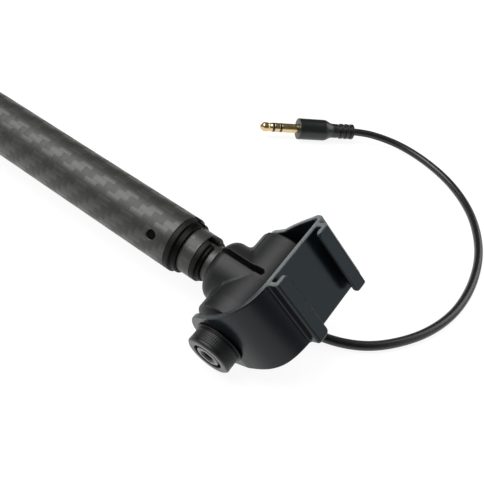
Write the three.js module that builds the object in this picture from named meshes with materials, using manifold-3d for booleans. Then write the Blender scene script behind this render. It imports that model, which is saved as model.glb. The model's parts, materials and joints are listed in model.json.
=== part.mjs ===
// A slender three-section boom pole, closed up and lying on a surface.
//
// The pole's axis runs along +X, with the head at the +X end. The pole is rolled about that axis,
// so it rests on its foam grip, on the round end of the yoke's left arm and on the plug of the
// short lead. Millimetres, +Z up, origin under the middle of the pole (the lead left out).
import * as THREE from 'three';
import * as BufferGeometryUtils from 'three/addons/utils/BufferGeometryUtils.js';
import Module from 'manifold-3d';

const wasm = await Module();
wasm.setup();

// ---------------------------------------------------------------- driving dimensions
const rollAngle = THREE.MathUtils.degToRad(20);
const tiltAngle = THREE.MathUtils.degToRad(41.3);

// Tubes. Each section slides inside the next one, on thin split bushes.
const innerTubeRadius = 5.25;
const tubeWall = 1;
const slidingGap = 0.5;
const outerTubeLength = 404;
const tailClearance = 4;
const retainingHoleRadius = 1.4;
const retainingHoleInset = 5.6;
const retainingHoleAngle = THREE.MathUtils.degToRad(-42);

// Bushes.
const fitClearance = 0.1;
const seatGap = 0.3;
const bushFlangeLength = 1.7;
const outerBushNoseLength = 2.4;
const middleBushNoseLength = 1.4;
const bushNoseStep = 0.7;
const bushInsertLength = 12;
const bushSplitWidth = 2.1;
const outerBushSplitAngle = THREE.MathUtils.degToRad(52);
const middleBushSplitAngle = THREE.MathUtils.degToRad(26);
const middleTubePeek = 3.6;
const closedGap = 1.8;
const tailBushCollarLength = 6;
const tailBushStemLength = 12;

// Head moulding. Its barrel lies along the pivot axis, its collar along the pole.
const collarRadius = 8.8;
const collarMouth = 13.7;
const collarMouthLip = 0.2;
const collarBoreDepth = 9;
const barrelRightRadius = 9.1;
const barrelLeftRadius = 9.7;
const barrelRightEnd = 13.9;
const barrelLeftEnd = 13.5;
const barrelEndChamfer = 0.5;
const slitWidth = 1.65;
const slitLength = 14;
const slitAngle = THREE.MathUtils.degToRad(10.5);

// Yoke, bent from strip, with the accessory shoe folded on its front.
const yokeWall = 1.5;
const shoeLength = 20.2;
const leftArmEndRadius = 9.2;
const rightArmEndRadius = 8;
const shoeFloorHeight = 16.6;
const shoeSlotWidth = 18.8;
const shoeSlotHeight = 2.1;
const shoeWall = 1.2;
const lipOpening = 12.8;
const shoeOffset = 6.1;
const rightWasherThickness = 0.5;
const leftWasherThickness = 1.6;
const washerGap = 0.1;
const washerRadius = 4;
const rightArmSplay = 3.85;
const armFlat = 3.6;
const armShoulder = 14;

// Pivot bolt, its nut and the round knob.
const boltRadius = 2;
const boltClearance = 0.25;
const boltHeadRadius = 3.35;
const boltHeadHeight = 3.25;
const boltHexAcrossFlats = 3;
const boltHexDepth = 2;
const nutAcrossFlats = 7;
const nutHeight = 3.2;
const knobRadius = 6.4;
const knobLength = 4.9;
const knobChamfer = 0.5;
const knobFlangeRadius = 6.9;
const knobFlangeLength = 0.4;
const knobPocketRadius = 3.85;
const knobFloor = 1.5;

// Handle end.
const gripLength = 180;
const gripWallClearance = 0.2;
const gripEndRound = 2;
const buttFlangeLength = 6;
const buttRecessRadius = 5.4;
const buttRecessDepth = 2.6;
const buttPanel = 1.6;
const buttSpigotLength = 12;
const jackThreadRadius = 3;
const jackThreadProud = 2.2;
const jackHoleRadius = 1.8;
const jackBodyLength = 14;
const jackNutAcrossFlats = 8;
const jackNutHeight = 1.6;

// Leads. The coiled lead inside the pole is one plain rod of the coil's outer diameter.
const coilRadius = 2.8;
const coilClearance = 0.6;
const cableRadius = 1.4;
const grommetAngle = THREE.MathUtils.degToRad(-62);
const grommetPlace = 2;
const grommetFlangeRadius = 2.7;
const grommetFlangeLength = 0.8;
const grommetNoseRadius = 2.1;
const grommetNoseLength = 1.8;
const grommetSocketDepth = 2.5;

// Plug, a 3.5 mm stereo jack plug with a moulded body.
const plugHeading = THREE.MathUtils.degToRad(225.7);
const plugEnd = new THREE.Vector2(-26.8, 108.5);
const plugBodyRadius = 4.05;
const plugBodyLength = 15.6;
const reliefRadius = 2.7;
const reliefWaistRadius = 2.2;
const reliefLength = 7.2;
const reliefRibs = 3;
const pinRadius = 1.75;
const pinWaistRadius = 1.25;
const pinSleeveLength = 6.6;
const pinRingLength = 2.1;
const pinTipLength = 4.8;
const insulatorLength = 0.7;
const pinGap = 0.06;

// The lead's route over the surface: X and Y from the pivot, Z above the surface.
const cableRoute = [
  [12.8, 9.3, 1.9],
  [21.4, 12.6, 1.5],
  [28.1, 17.1, 1.5],
  [34.0, 24.2, 1.5],
  [39.6, 35.2, 1.5],
  [42.8, 49.0, 1.5],
  [42.4, 66.4, 1.5],
  [37.8, 84.6, 1.5],
  [28.3, 101.2, 1.5],
  [15.7, 112.6, 1.5],
  [2.0, 118.2, 1.8],
  [-10.2, 118.2, 2.7],
  [-20.2, 113.8, 3.8],
];

// ---------------------------------------------------------------- worked-out sizes
const middleTubeRadius = innerTubeRadius + slidingGap + tubeWall;
const outerTubeRadius = middleTubeRadius + slidingGap + tubeWall;
const middleTubeEnd = -collarMouth - closedGap - middleBushNoseLength - bushFlangeLength;
const outerTubeEnd = middleTubeEnd - middleTubePeek - outerBushNoseLength - bushFlangeLength;
const innerTubeEnd = -collarMouth + collarBoreDepth - seatGap;
const outerTubeTail = outerTubeEnd - outerTubeLength;
const middleTubeTail = outerTubeTail + buttSpigotLength + tailBushCollarLength + tailClearance;
const innerTubeTail = middleTubeTail + tailBushStemLength + tailBushCollarLength + tailClearance;
const leftArmInner = -(barrelLeftEnd + leftWasherThickness + 2 * washerGap);
const leftArmOuter = leftArmInner - yokeWall;
const rightArmInner = barrelRightEnd + rightWasherThickness + 2 * washerGap;
const shoeWidth = shoeSlotWidth + 2 * shoeWall;
const shoeLeft = shoeOffset - shoeWidth / 2;
const shoeRight = shoeOffset + shoeWidth / 2;
const lipTop = shoeFloorHeight + shoeSlotHeight + shoeWall;
const axialSegments = 32;
const smallSegments = 20;

// ---------------------------------------------------------------- materials
function finish(color, roughness, metalness) {
  return new THREE.MeshStandardMaterial({ color, roughness, metalness, flatShading: true });
}
const carbon = finish(0x4a4d49, 0.35, 0.1);
const bushPlastic = finish(0x151616, 0.45, 0);
const headPlastic = finish(0x3a3b3b, 0.5, 0);
const blackPaint = finish(0x16181a, 0.4, 0.3);
const darkOxide = finish(0x2a2a2c, 0.4, 0.8);
const zinc = finish(0x9a9da0, 0.35, 0.9);
const rubber = finish(0x1b1c1c, 0.7, 0);
const foam = finish(0x1c1c1d, 0.95, 0);
const pvc = finish(0x1d1f1e, 0.55, 0);
const gold = finish(0xd9b560, 0.25, 1);

// ---------------------------------------------------------------- solids
// A closed geometry as a solid: shared corners merged, slivers dropped, faces pointing out.
function solid(geometry) {
  const bare = geometry.index ? geometry.toNonIndexed() : geometry.clone();
  bare.deleteAttribute('normal');
  bare.deleteAttribute('uv');
  const merged = BufferGeometryUtils.mergeVertices(bare, 1e-3);
  const corners = merged.index.array;
  const points = merged.attributes.position;
  const triangles = [];
  const [a, b, c] = [new THREE.Vector3(), new THREE.Vector3(), new THREE.Vector3()];
  let volume = 0;
  for (let i = 0; i < corners.length; i += 3) {
    const [p, q, r] = [corners[i], corners[i + 1], corners[i + 2]];
    if (p === q || q === r || r === p) continue;
    triangles.push(p, q, r);
    a.fromBufferAttribute(points, p);
    b.fromBufferAttribute(points, q);
    c.fromBufferAttribute(points, r);
    volume += a.dot(b.cross(c));
  }
  if (volume < 0) triangles.reverse();
  return new wasm.Manifold(new wasm.Mesh({
    numProp: 3,
    vertProperties: new Float32Array(points.array),
    triVerts: new Uint32Array(triangles),
  }));
}

function shell(manifold) {
  const mesh = manifold.getMesh();
  const geometry = new THREE.BufferGeometry();
  geometry.setAttribute('position', new THREE.BufferAttribute(mesh.vertProperties, 3));
  geometry.setIndex(new THREE.BufferAttribute(mesh.triVerts, 1));
  geometry.computeVertexNormals();
  return geometry;
}

// A turned solid. Each profile point is [place along the axis, radius].
function turned(profile, segments = axialSegments) {
  const points = profile.map(([along, radius]) => new THREE.Vector2(radius, along));
  points.push(points[0].clone());
  return new THREE.LatheGeometry(points, segments);
}

const alongX = (profile, segments) => solid(turned(profile, segments).rotateZ(-Math.PI / 2));
const alongY = (profile, segments) => solid(turned(profile, segments));
const rodProfile = (from, to, radius) => [[from, 0], [from, radius], [to, radius], [to, 0]];

function ringProfile(from, to, outer, inner) {
  return [[from, inner], [from, outer], [to, outer], [to, inner]];
}

function block(sizeX, sizeY, sizeZ, x, y, z) {
  return new THREE.BoxGeometry(sizeX, sizeY, sizeZ).translate(x, y, z);
}

// A six-sided prism along Y, from one place to another.
function hexAlongY(acrossFlats, from, to) {
  const radius = acrossFlats / Math.sqrt(3);
  const hex = new THREE.CylinderGeometry(radius, radius, to - from, 6);
  return hex.translate(0, (from + to) / 2, 0);
}

function part(name, geometry, material, parent) {
  const mesh = new THREE.Mesh(geometry, material);
  mesh.name = name;
  parent.add(mesh);
  return mesh;
}

// ---------------------------------------------------------------- groups
const group = new THREE.Group();
const pole = new THREE.Group();
pole.rotation.x = rollAngle;
group.add(pole);
const yokeFrame = new THREE.Group();
yokeFrame.rotation.y = -tiltAngle;
pole.add(yokeFrame);
const surface = new THREE.Group();
group.add(surface);

// ---------------------------------------------------------------- tubes and bushes
function tube(tail, end, radius) {
  return alongX(ringProfile(tail, end, radius, radius - tubeWall));
}

// Turns a piece about the pole's axis, from straight up towards +Y.
function turnedToAngle(geometry, angle) {
  return geometry.rotateX(-angle);
}

const retainingHoleX = outerTubeEnd - retainingHoleInset;
const retainingHole = solid(turnedToAngle(
  new THREE.CylinderGeometry(retainingHoleRadius, retainingHoleRadius, 2 * tubeWall + slidingGap, 16)
    .rotateX(Math.PI / 2)
    .translate(retainingHoleX, 0, outerTubeRadius),
  retainingHoleAngle,
));
const outerTube = tube(outerTubeTail, outerTubeEnd, outerTubeRadius).subtract(retainingHole);
part('outer_tube', shell(outerTube), carbon, pole);
part('middle_tube', shell(tube(middleTubeTail, middleTubeEnd, middleTubeRadius)), carbon, pole);
part('inner_tube', shell(tube(innerTubeTail, innerTubeEnd, innerTubeRadius)), carbon, pole);

// A split bush in a tube's mouth: thin insert, flange of the tube's own diameter, smaller nose.
function mouthBush(end, radius, noseLength, splitAngle) {
  const bore = radius - tubeWall - slidingGap + fitClearance;
  const insert = radius - tubeWall - fitClearance;
  const flangeStart = end + fitClearance;
  const flangeEnd = end + bushFlangeLength;
  const noseEnd = flangeEnd + noseLength;
  const noseRadius = radius - bushNoseStep;
  const ring = alongX([
    [end - bushInsertLength, bore],
    [end - bushInsertLength, insert],
    [flangeStart, insert],
    [flangeStart, radius],
    [flangeEnd, radius],
    [flangeEnd, noseRadius],
    [noseEnd, noseRadius],
    [noseEnd, bore],
  ]);
  const splitLength = 2 * (bushInsertLength + bushFlangeLength + noseLength);
  const split = block(splitLength, bushSplitWidth, 2 * tubeWall + radius, end, 0, radius);
  return ring.subtract(solid(turnedToAngle(split, splitAngle)));
}

// The pip that snaps into the retaining hole is part of the outer bush.
const pipInner = outerTubeRadius - tubeWall - 2 * fitClearance;
const pipOuter = outerTubeRadius - tubeWall / 2;
const pip = solid(turnedToAngle(
  new THREE.CylinderGeometry(
    retainingHoleRadius - 2 * fitClearance,
    retainingHoleRadius - 2 * fitClearance,
    pipOuter - pipInner,
    12,
  )
    .rotateX(Math.PI / 2)
    .translate(retainingHoleX, 0, (pipInner + pipOuter) / 2),
  retainingHoleAngle,
));
const outerBush = mouthBush(outerTubeEnd, outerTubeRadius, outerBushNoseLength, outerBushSplitAngle);
const middleBush = mouthBush(
  middleTubeEnd, middleTubeRadius, middleBushNoseLength, middleBushSplitAngle,
);
part('outer_mouth_bush', shell(outerBush.add(pip)), bushPlastic, pole);
part('middle_mouth_bush', shell(middleBush), bushPlastic, pole);

// A tail bush: a collar that rides in the larger tube, a stem inside its own tube.
function tailBush(tail, radius) {
  const hole = coilRadius + coilClearance;
  const collar = radius + slidingGap - fitClearance;
  const stem = radius - tubeWall - fitClearance;
  return alongX([
    [tail - tailBushCollarLength, hole],
    [tail - tailBushCollarLength, collar],
    [tail - fitClearance, collar],
    [tail - fitClearance, stem],
    [tail + tailBushStemLength, stem],
    [tail + tailBushStemLength, hole],
  ]);
}
part('middle_tail_bush', shell(tailBush(middleTubeTail, middleTubeRadius)), bushPlastic, pole);
part('inner_tail_bush', shell(tailBush(innerTubeTail, innerTubeRadius)), bushPlastic, pole);

// ---------------------------------------------------------------- head moulding
function headBody() {
  const bore = innerTubeRadius + fitClearance;
  const mouthRadius = bore + collarMouthLip;
  const rise = collarRadius - mouthRadius;
  const collar = alongX([
    [-collarMouth, 0],
    [-collarMouth, mouthRadius],
    [-collarMouth + 0.15, mouthRadius + 0.35 * rise],
    [-collarMouth + 0.6, mouthRadius + 0.62 * rise],
    [-collarMouth + 1.3, mouthRadius + 0.82 * rise],
    [-collarMouth + 2.4, mouthRadius + 0.96 * rise],
    [-collarMouth + 3.6, collarRadius],
    [0, collarRadius],
    [0, 0],
  ]);
  const barrel = alongY([
    [-barrelLeftEnd, 0],
    [-barrelLeftEnd, barrelLeftRadius - barrelEndChamfer],
    [-barrelLeftEnd + barrelEndChamfer, barrelLeftRadius],
    [-collarRadius, barrelLeftRadius],
    [0, barrelRightRadius],
    [barrelRightEnd - barrelEndChamfer, barrelRightRadius],
    [barrelRightEnd, barrelRightRadius - barrelEndChamfer],
    [barrelRightEnd, 0],
  ], 40);
  const boreEnd = -collarMouth + collarBoreDepth;
  const leadHole = coilRadius + coilClearance;
  const tubeBore = alongX(rodProfile(-collarMouth - 1, boreEnd, bore));
  const leadBore = alongX(rodProfile(boreEnd - 1, -boltRadius - 1.2, leadHole), smallSegments);
  const boltBore = alongY(
    rodProfile(-barrelLeftEnd - 1, barrelRightEnd + 1, boltRadius + boltClearance), smallSegments,
  );
  const slit = solid(turnedToAngle(
    block(2 * slitLength, slitWidth, collarRadius, -collarMouth, 0, collarRadius),
    slitAngle,
  ));
  return collar.add(barrel)
    .subtract(tubeBore)
    .subtract(leadBore)
    .subtract(boltBore)
    .subtract(slit)
    .subtract(solid(grommetPlaced(grommetSocket(fitClearance))));
}

// The grommet stands square on the barrel, below and ahead of the pivot.
function grommetPlaced(geometry) {
  return geometry
    .rotateZ(-Math.PI / 2)
    .rotateY(-grommetAngle)
    .translate(0, grommetPlace, 0);
}

const grommetSeat = barrelRightRadius;

function grommetSocket(clearance) {
  const from = grommetSeat - grommetSocketDepth - clearance;
  return turned(rodProfile(from, grommetSeat + 1, grommetNoseRadius + clearance), smallSegments);
}

function grommet() {
  const inside = grommetSeat - grommetSocketDepth;
  const flangeStart = grommetSeat + seatGap;
  const flangeEnd = flangeStart + grommetFlangeLength;
  return turned([
    [inside, 0],
    [inside, grommetNoseRadius],
    [flangeStart, grommetNoseRadius],
    [flangeStart, grommetFlangeRadius],
    [flangeEnd, grommetFlangeRadius],
    [flangeEnd, grommetNoseRadius],
    [flangeEnd + grommetNoseLength, cableRadius + 0.3],
    [flangeEnd + grommetNoseLength, 0],
  ], smallSegments);
}
part('head_body', shell(headBody()), headPlastic, pole);
part('cable_grommet', shell(solid(grommetPlaced(grommet()))), rubber, pole);

// ---------------------------------------------------------------- yoke
// Local axes: +X out of the shoe, +Y along the pivot, Z along the shoe's slot.
// A strip of even thickness along a centre line, as an outline.
function stripShape(line, thickness) {
  const left = [];
  const right = [];
  for (let i = 0; i < line.length; i += 1) {
    const before = line[Math.max(i - 1, 0)];
    const after = line[Math.min(i + 1, line.length - 1)];
    const here = line[i];
    const entering = i > 0 ? here.clone().sub(before).normalize() : after.clone().sub(here).normalize();
    const leaving = i < line.length - 1 ? after.clone().sub(here).normalize() : entering;
    const heading = entering.clone().add(leaving).normalize();
    const across = new THREE.Vector2(-heading.y, heading.x);
    const reach = thickness / 2 / Math.max(heading.dot(entering), 0.3);
    left.push(here.clone().addScaledVector(across, reach));
    right.push(here.clone().addScaledVector(across, -reach));
  }
  return new THREE.Shape([...left, ...right.reverse()]);
}

function alongSlot(shape, length) {
  const geometry = new THREE.ExtrudeGeometry(shape, { depth: length, bevelEnabled: false });
  return geometry.translate(0, 0, -length / 2);
}

function yokeStripLine() {
  const floor = shoeFloorHeight - yokeWall / 2;
  const left = leftArmInner - yokeWall / 2;
  const right = rightArmInner + yokeWall / 2;
  const beyond = 2 * leftArmEndRadius;
  const path = new THREE.Path();
  path.moveTo(-beyond, left);
  path.lineTo(armFlat, left);
  path.bezierCurveTo(0.7 * floor, left + 1.2, 0.95 * floor, left + 2.7, floor, shoeLeft + 0.4);
  path.lineTo(floor, right + rightArmSplay - 2);
  path.quadraticCurveTo(floor, right + rightArmSplay, floor - 2, right + 0.94 * rightArmSplay);
  path.lineTo(0.75 * floor, right + 0.8 * rightArmSplay);
  path.quadraticCurveTo(0.4 * floor, right + 0.5 * rightArmSplay, armFlat, right);
  path.lineTo(-beyond, right);
  const distinct = [];
  for (const point of path.getPoints(8)) {
    const last = distinct.at(-1);
    if (!last || last.distanceTo(point) > 1e-3) distinct.push(point);
  }
  return distinct;
}

// One arm's outline from the side: round the pivot, widening to the shoe's length.
function armOutline(endRadius, side) {
  const halfLength = shoeLength / 2;
  const far = lipTop + 5;
  const outline = new THREE.Shape();
  outline.moveTo(far, -halfLength);
  outline.lineTo(far, halfLength);
  outline.lineTo(armShoulder, halfLength);
  outline.lineTo(0, endRadius);
  outline.absarc(0, 0, endRadius, Math.PI / 2, 1.5 * Math.PI, false);
  outline.lineTo(armShoulder, -halfLength);
  const slab = new THREE.ExtrudeGeometry(outline, {
    depth: 2 * shoeWidth,
    bevelEnabled: false,
    curveSegments: 16,
  });
  return solid(slab.rotateX(Math.PI / 2).translate(0, side < 0 ? 0 : 2 * shoeWidth, 0));
}

// One shoe rail: a wall up from the floor and a lip folded inwards over the slot.
function railShape(outer, inward) {
  const inner = outer + inward * shoeWall;
  const lipEdge = outer + inward * (shoeWidth - lipOpening) / 2;
  const root = shoeFloorHeight - yokeWall / 2;
  return new THREE.Shape([
    new THREE.Vector2(root, outer),
    new THREE.Vector2(lipTop, outer),
    new THREE.Vector2(lipTop, lipEdge),
    new THREE.Vector2(lipTop - shoeWall, lipEdge),
    new THREE.Vector2(lipTop - shoeWall, inner),
    new THREE.Vector2(root, inner),
  ]);
}

function yoke() {
  const boltHole = alongY(
    rodProfile(-2 * shoeWidth, 2 * shoeWidth, boltRadius + boltClearance), smallSegments,
  );
  const outline = armOutline(leftArmEndRadius, -1).add(armOutline(rightArmEndRadius, 1));
  return solid(alongSlot(stripShape(yokeStripLine(), yokeWall), shoeLength))
    .intersect(outline)
    .add(solid(alongSlot(railShape(shoeLeft, 1), shoeLength)))
    .add(solid(alongSlot(railShape(shoeRight, -1), shoeLength)))
    .subtract(boltHole);
}
const yokeSolid = yoke();
part('yoke', shell(yokeSolid), blackPaint, yokeFrame);

// ---------------------------------------------------------------- pivot hardware
function washer(from, thickness) {
  return shell(alongY(ringProfile(
    from, from + thickness, washerRadius, boltRadius + boltClearance,
  )));
}
part('left_washer', washer(leftArmInner + washerGap, leftWasherThickness), rubber, pole);
part('right_washer', washer(barrelRightEnd + washerGap, rightWasherThickness), rubber, pole);

const knobBase = leftArmOuter - washerGap;
const knobFace = knobBase - knobLength;
const boltHeadBase = knobBase - knobFloor - washerGap;
const rightArmOuter = rightArmInner + yokeWall;
const nutFrom = rightArmOuter + washerGap;
const boltEnd = nutFrom + nutHeight + 1;

function pivotBolt() {
  const headTop = boltHeadBase - boltHeadHeight;
  const socket = hexAlongY(boltHexAcrossFlats, headTop - 1, headTop + boltHexDepth);
  const turnedBolt = alongY([
    [headTop, 0],
    [headTop, boltHeadRadius],
    [boltHeadBase, boltHeadRadius],
    [boltHeadBase, boltRadius],
    [boltEnd, boltRadius],
    [boltEnd, 0],
  ]);
  return turnedBolt.subtract(solid(socket));
}

function knob() {
  return alongY([
    [knobBase, boltRadius + boltClearance],
    [knobBase - knobFloor, boltRadius + boltClearance],
    [knobBase - knobFloor, knobPocketRadius],
    [knobFace, knobPocketRadius],
    [knobFace, knobRadius - knobChamfer],
    [knobFace + knobChamfer, knobRadius],
    [knobBase - knobFlangeLength, knobRadius],
    [knobBase - knobFlangeLength, knobFlangeRadius],
    [knobBase, knobFlangeRadius],
  ]);
}

function pivotNut() {
  const bore = alongY(rodProfile(nutFrom - 1, boltEnd + 1, boltRadius + washerGap), smallSegments);
  return solid(hexAlongY(nutAcrossFlats, nutFrom, nutFrom + nutHeight)).subtract(bore);
}
part('pivot_bolt', shell(pivotBolt()), darkOxide, pole);
part('clamp_knob', shell(knob()), blackPaint, pole);
part('pivot_nut', shell(pivotNut()), zinc, yokeFrame);

// ---------------------------------------------------------------- resting height
// The yoke's lowest point touches the surface, and the grip's radius brings the pole level.
group.updateMatrixWorld(true);
const yokeBox = new THREE.Box3();
const corner = new THREE.Vector3();
yokeFrame.children[0].geometry.computeBoundingBox();
const yokePoints = yokeFrame.children[0].geometry.attributes.position;
for (let i = 0; i < yokePoints.count; i += 1) {
  corner.fromBufferAttribute(yokePoints, i).applyMatrix4(yokeFrame.matrixWorld);
  yokeBox.expandByPoint(corner);
}
const axisHeight = -yokeBox.min.z;

// ---------------------------------------------------------------- handle end
const gripRadius = axisHeight;
const gripTail = outerTubeTail;
const gripFront = gripTail + gripLength;
const gripBore = outerTubeRadius + gripWallClearance;
const grip = alongX([
  [gripTail, gripBore],
  [gripTail, gripRadius],
  [gripFront - gripEndRound, gripRadius],
  [gripFront, gripRadius - gripEndRound],
  [gripFront, gripBore],
]);
part('grip_sleeve', shell(grip), foam, pole).rotation.x = -rollAngle;

const buttFace = outerTubeTail - seatGap - buttFlangeLength;
const recessFloor = buttFace + buttRecessDepth;
const panelBack = recessFloor + buttPanel;
const buttCap = alongX([
  [buttFace, buttRecessRadius],
  [buttFace, gripRadius - 1.5],
  [buttFace + 1, gripRadius - 0.5],
  [outerTubeTail - seatGap, gripRadius - 0.5],
  [outerTubeTail - seatGap, outerTubeRadius - tubeWall - fitClearance],
  [outerTubeTail + buttSpigotLength, outerTubeRadius - tubeWall - fitClearance],
  [outerTubeTail + buttSpigotLength, jackThreadRadius + 1.5],
  [panelBack, jackThreadRadius + 1.5],
  [panelBack, jackThreadRadius + fitClearance],
  [recessFloor, jackThreadRadius + fitClearance],
  [recessFloor, buttRecessRadius],
]);
part('butt_cap', shell(buttCap), rubber, pole);

const jackShoulder = panelBack + fitClearance;
const jackBack = jackShoulder + jackBodyLength;
const jackThread = alongX(
  ringProfile(recessFloor - jackThreadProud, panelBack, jackThreadRadius, jackHoleRadius),
  smallSegments,
);
const jackBody = alongX([
  [jackShoulder, jackHoleRadius],
  [jackShoulder, jackThreadRadius + 1.2],
  [jackBack, jackThreadRadius + 1.2],
  [jackBack, 0],
  [jackBack - 1.5, 0],
  [jackBack - 1.5, jackHoleRadius],
], smallSegments);
const jackNutBase = recessFloor - fitClearance;
const jackNut = solid(hexAlongY(jackNutAcrossFlats, jackNutBase - jackNutHeight, jackNutBase)
  .rotateZ(-Math.PI / 2))
  .subtract(alongX(
    rodProfile(jackNutBase - jackNutHeight - 1, jackNutBase + 1, jackThreadRadius + fitClearance),
    smallSegments,
  ));
part('jack_thread', shell(jackThread), zinc, pole);
part('jack_body', shell(jackBody), bushPlastic, pole);
part('jack_nut', shell(jackNut), zinc, pole);

const coilEnd = innerTubeEnd - seatGap;
const coil = alongX(rodProfile(jackBack + seatGap, coilEnd, coilRadius), 16);
part('coiled_lead', shell(coil), pvc, pole);

// ---------------------------------------------------------------- places
// The origin lies under the middle of the pole's own box, without the lead and its plug.
pole.position.z = axisHeight;
group.updateMatrixWorld(true);
const wholeBox = new THREE.Box3().setFromObject(pole, true);
const middle = wholeBox.getCenter(new THREE.Vector3());
pole.position.x = -middle.x;
pole.position.y = -middle.y;
surface.position.set(-middle.x, -middle.y, 0);

// ---------------------------------------------------------------- short lead and plug
// The lead leaves the grommet square to the barrel and bends down onto the surface.
function grommetExit(beyond) {
  const along = grommetSeat + seatGap + grommetFlangeLength + grommetNoseLength + beyond;
  const point = new THREE.Vector3(
    along * Math.cos(grommetAngle), grommetPlace, along * Math.sin(grommetAngle),
  );
  return point.applyAxisAngle(new THREE.Vector3(1, 0, 0), rollAngle).setZ(
    point.z + axisHeight,
  );
}

const plugDirection = new THREE.Vector3(Math.cos(plugHeading), Math.sin(plugHeading), 0);
const reliefEnd = new THREE.Vector3(plugEnd.x, plugEnd.y, plugBodyRadius);
const cablePoints = [
  grommetExit(0.1),
  grommetExit(1.5),
  ...cableRoute.map(([x, y, z]) => new THREE.Vector3(x, y, z)),
  reliefEnd.clone().addScaledVector(plugDirection, -1.5),
  reliefEnd.clone().addScaledVector(plugDirection, -0.1),
];
const cableCurve = new THREE.CatmullRomCurve3(cablePoints, false, 'centripetal');
const cableSection = new THREE.Shape();
for (let i = 0; i < 8; i += 1) {
  const angle = (i + 0.5) * Math.PI / 4;
  const [x, y] = [cableRadius * Math.cos(angle), cableRadius * Math.sin(angle)];
  if (i === 0) cableSection.moveTo(x, y);
  else cableSection.lineTo(x, y);
}
cableSection.closePath();
const cableSteps = Math.round(cableCurve.getLength() / (5 * cableRadius));
const cable = new THREE.ExtrudeGeometry(cableSection, {
  steps: 2 * cableSteps,
  extrudePath: cableCurve,
  bevelEnabled: false,
});
part('mic_cable', shell(solid(cable)), pvc, surface);

// The plug points along its own +X from the relief's end, and lies on its body.
const plug = new THREE.Group();
plug.position.copy(reliefEnd);
plug.rotation.z = plugHeading;
surface.add(plug);

function plugBody() {
  const profile = [[0, 0], [0, reliefWaistRadius]];
  const pitch = reliefLength / reliefRibs;
  for (let i = 0; i < reliefRibs; i += 1) {
    const from = i * pitch;
    profile.push(
      [from + 0.1 * pitch, reliefRadius],
      [from + 0.6 * pitch, reliefRadius],
      [from + 0.65 * pitch, reliefWaistRadius],
      [from + 0.99 * pitch, reliefWaistRadius],
    );
  }
  const shoulder = reliefLength;
  const end = reliefLength + plugBodyLength;
  profile.push(
    [shoulder, plugBodyRadius - 1.1],
    [shoulder + 1, plugBodyRadius - 0.4],
    [shoulder + 2, plugBodyRadius],
    [end - 0.8, plugBodyRadius],
    [end, plugBodyRadius - 0.8],
    [end, 0],
  );
  return alongX(profile, smallSegments);
}
part('plug_body', shell(plugBody()), pvc, plug);

// The pin, piece by piece from the body: sleeve, black ring, ring, black ring, tip.
let pinPlace = reliefLength + plugBodyLength + pinGap;

function pinPiece(name, length, material) {
  const from = pinPlace;
  const to = from + length;
  pinPlace = to + pinGap;
  part(name, shell(alongX(rodProfile(from, to, pinRadius), 16)), material, plug);
}
pinPiece('plug_sleeve', pinSleeveLength, gold);
pinPiece('plug_ring_insulator', insulatorLength, pvc);
pinPiece('plug_ring', pinRingLength, gold);
pinPiece('plug_tip_insulator', insulatorLength, pvc);
part('plug_tip', shell(alongX([
  [pinPlace, 0],
  [pinPlace, pinRadius],
  [pinPlace + 0.9, pinRadius],
  [pinPlace + 1.7, pinWaistRadius],
  [pinPlace + pinTipLength - 1.7, pinRadius],
  [pinPlace + pinTipLength - 0.5, 0.7 * pinRadius],
  [pinPlace + pinTipLength, 0.25 * pinRadius],
  [pinPlace + pinTipLength, 0],
], 16)), gold, plug);

export default group;
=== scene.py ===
# %% [markdown]
# # A carbon boom pole with a tilting shoe
# The pole lies closed on a pale surface, with its short lead curled beside it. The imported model
# gives every place and size. This script makes each piece again with the soft edges, weave and
# finishes of the real one, and hangs it on the same moving body.

# %% Load the frame
import json

import bmesh
import bpy
import numpy as np
from mathutils import Matrix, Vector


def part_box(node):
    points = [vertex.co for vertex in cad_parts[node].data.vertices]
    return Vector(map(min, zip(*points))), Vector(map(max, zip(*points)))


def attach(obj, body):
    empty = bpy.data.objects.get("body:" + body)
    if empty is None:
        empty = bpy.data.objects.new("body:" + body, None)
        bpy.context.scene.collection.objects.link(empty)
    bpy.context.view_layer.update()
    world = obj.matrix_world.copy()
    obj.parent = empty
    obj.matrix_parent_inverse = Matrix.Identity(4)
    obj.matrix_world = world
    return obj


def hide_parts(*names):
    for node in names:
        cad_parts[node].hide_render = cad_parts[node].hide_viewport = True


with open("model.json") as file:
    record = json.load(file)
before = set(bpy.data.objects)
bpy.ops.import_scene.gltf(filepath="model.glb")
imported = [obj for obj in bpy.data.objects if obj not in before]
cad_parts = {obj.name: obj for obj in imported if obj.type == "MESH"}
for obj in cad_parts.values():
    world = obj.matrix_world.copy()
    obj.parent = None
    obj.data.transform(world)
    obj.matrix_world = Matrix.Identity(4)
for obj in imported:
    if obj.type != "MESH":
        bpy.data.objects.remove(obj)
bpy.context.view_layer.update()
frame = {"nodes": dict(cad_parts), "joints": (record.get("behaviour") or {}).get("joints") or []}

# %% [markdown]
# ## Axes
# Every piece is simple in the right axes. The head's axes start at the pivot: along the pole,
# along the pivot bolt, and across both. The yoke's axes are the same ones tilted up about the
# bolt. A turned piece has its own axis first. Sizes are in millimetres; `place` makes metres.

# %% Axes of the pole and the yoke
MM = 0.001
joints = {joint["name"]: joint for joint in frame["joints"]}
PIVOT = np.array(joints["yoke_tilt"]["pos_m"])
ALONG = np.array([1.0, 0.0, 0.0])
SIDE = np.array(joints["knob_turn"]["axis"])
ACROSS = np.cross(ALONG, SIDE)
tilt = np.radians(-joints["yoke_tilt"]["range_deg"][0])
HEAD = np.array([ALONG, SIDE, ACROSS])
YOKE = np.array([
    ALONG * np.cos(tilt) + ACROSS * np.sin(tilt),
    SIDE,
    ACROSS * np.cos(tilt) - ALONG * np.sin(tilt),
])
BOLT_AXES = np.array([SIDE, ACROSS, ALONG])


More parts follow.
